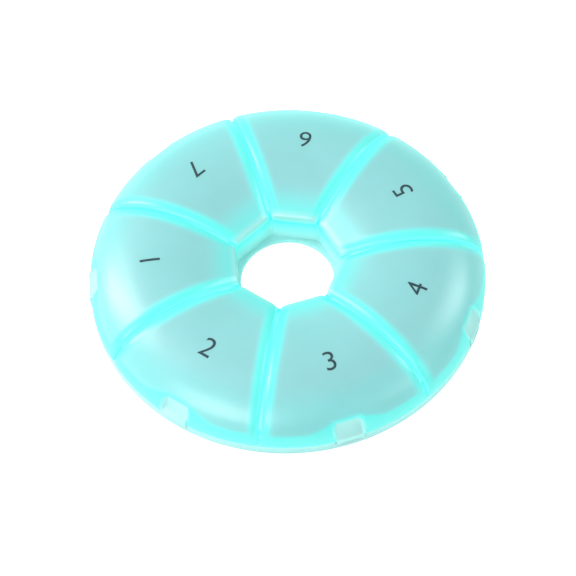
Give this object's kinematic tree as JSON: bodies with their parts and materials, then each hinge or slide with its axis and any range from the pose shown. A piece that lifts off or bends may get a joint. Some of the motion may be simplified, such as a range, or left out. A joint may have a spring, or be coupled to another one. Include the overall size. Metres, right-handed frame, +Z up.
{
  "type": "weekly pill box",
  "caption": "Round flat pill box: domed sector lids in a ring round a finger hole, each hinged at the rim over its own compartment, in frosted translucent plastic.",
  "frame": {"origin": "middle of the finger hole, on the surface the box stands on", "axes": "+Z up; -Y points out through the middle of the third day's lid, which faces the front"},
  "size_m": [0.09, 0.0902, 0.014],
  "materials": {
    "tray_plastic": "frosted translucent turquoise, pale where it is one wall thick",
    "lid_plastic": "frosted translucent turquoise, satin, brightest along its thick edges",
    "strap_plastic": "frosted translucent turquoise film"
  },
  "bodies": {
    "tray": {"base_tray": "tray_plastic"},
    "lid_1": {"lid_day_1": "lid_plastic", "hinge_strap_day_1": "strap_plastic"},
    "lid_2": {"lid_day_2": "lid_plastic", "hinge_strap_day_2": "strap_plastic"},
    "lid_3": {"lid_day_3": "lid_plastic", "hinge_strap_day_3": "strap_plastic"},
    "lid_4": {"lid_day_4": "lid_plastic", "hinge_strap_day_4": "strap_plastic"},
    "lid_5": {"lid_day_5": "lid_plastic", "hinge_strap_day_5": "strap_plastic"},
    "lid_6": {"lid_day_6": "lid_plastic", "hinge_strap_day_6": "strap_plastic"},
    "lid_7": {"lid_day_7": "lid_plastic", "hinge_strap_day_7": "strap_plastic"}
  },
  "joints": [
    {"name": "lid_1_hinge", "type": "hinge", "parent": "tray", "child": "lid_1", "pos_m": [-0.04382, 0.01, 0.00345], "axis": [-0.2225, -0.9749, 0], "range_deg": [0, 140], "deforming": ["hinge_strap_day_1"]},
    {"name": "lid_2_hinge", "type": "hinge", "parent": "tray", "child": "lid_2", "pos_m": [-0.03514, -0.02803, 0.00345], "axis": [0.6235, -0.7818, 0], "range_deg": [0, 140], "deforming": ["hinge_strap_day_2"]},
    {"name": "lid_3_hinge", "type": "hinge", "parent": "tray", "child": "lid_3", "pos_m": [0, -0.04495, 0.00345], "axis": [1, 0, 0], "range_deg": [0, 140], "deforming": ["hinge_strap_day_3"]},
    {"name": "lid_4_hinge", "type": "hinge", "parent": "tray", "child": "lid_4", "pos_m": [0.03514, -0.02803, 0.00345], "axis": [0.6235, 0.7818, 0], "range_deg": [0, 140], "deforming": ["hinge_strap_day_4"]},
    {"name": "lid_5_hinge", "type": "hinge", "parent": "tray", "child": "lid_5", "pos_m": [0.04382, 0.01, 0.00345], "axis": [-0.2225, 0.9749, 0], "range_deg": [0, 140], "deforming": ["hinge_strap_day_5"]},
    {"name": "lid_6_hinge", "type": "hinge", "parent": "tray", "child": "lid_6", "pos_m": [0.0195, 0.0405, 0.00345], "axis": [-0.901, 0.4339, 0], "range_deg": [0, 140], "deforming": ["hinge_strap_day_6"]},
    {"name": "lid_7_hinge", "type": "hinge", "parent": "tray", "child": "lid_7", "pos_m": [-0.0195, 0.0405, 0.00345], "axis": [-0.901, -0.4339, 0], "range_deg": [0, 140], "deforming": ["hinge_strap_day_7"]}
  ]
}
